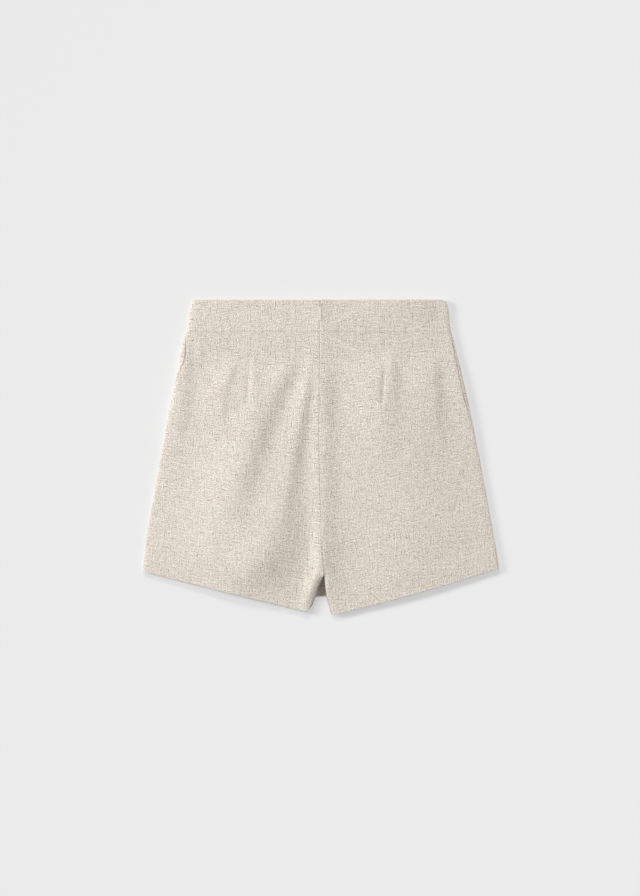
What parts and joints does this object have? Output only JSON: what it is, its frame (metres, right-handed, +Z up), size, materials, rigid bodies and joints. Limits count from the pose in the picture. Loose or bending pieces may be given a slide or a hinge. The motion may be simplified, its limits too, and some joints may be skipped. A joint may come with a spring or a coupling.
{
  "type": "culottes laid flat",
  "caption": "Short A-line linen culottes laid flat, back side up: plain waistband, concealed centre back zip with a swinging pull tab, darts, in-seam side pockets and blind hems.",
  "frame": {"origin": "middle of the garment's outline, on the table that its flat underside rests on", "axes": "+X across the garment towards the wearer's right side, +Y towards the waistband, +Z up from the table through both layers"},
  "size_m": [0.4726, 0.418, 0.0181],
  "materials": {
    "linen": "slubby plain weave, matte",
    "pocketing": "fine plain cotton, matte",
    "zip_tape": "knitted polyester tape",
    "zip_metal": "satin enamel in the cloth's colour"
  },
  "bodies": {
    "garment": {"back_left_panel": "linen", "back_right_panel": "linen", "back_left_waistband": "linen", "back_right_waistband": "linen", "front_left_panel": "linen", "front_right_panel": "linen", "front_waistband": "linen", "left_pocket_bag": "pocketing", "right_pocket_bag": "pocketing", "zip_left_tape": "zip_tape", "zip_right_tape": "zip_tape", "zip_slider": "zip_metal"},
    "pull_tab": {"zip_pull_tab": "zip_metal"}
  },
  "joints": [
    {"name": "pull_tab_swing", "type": "hinge", "parent": "garment", "child": "pull_tab", "pos_m": [-0.00163, 0.203, 0.00836], "axis": [-1, 0, 0], "range_deg": [0, 165]}
  ]
}
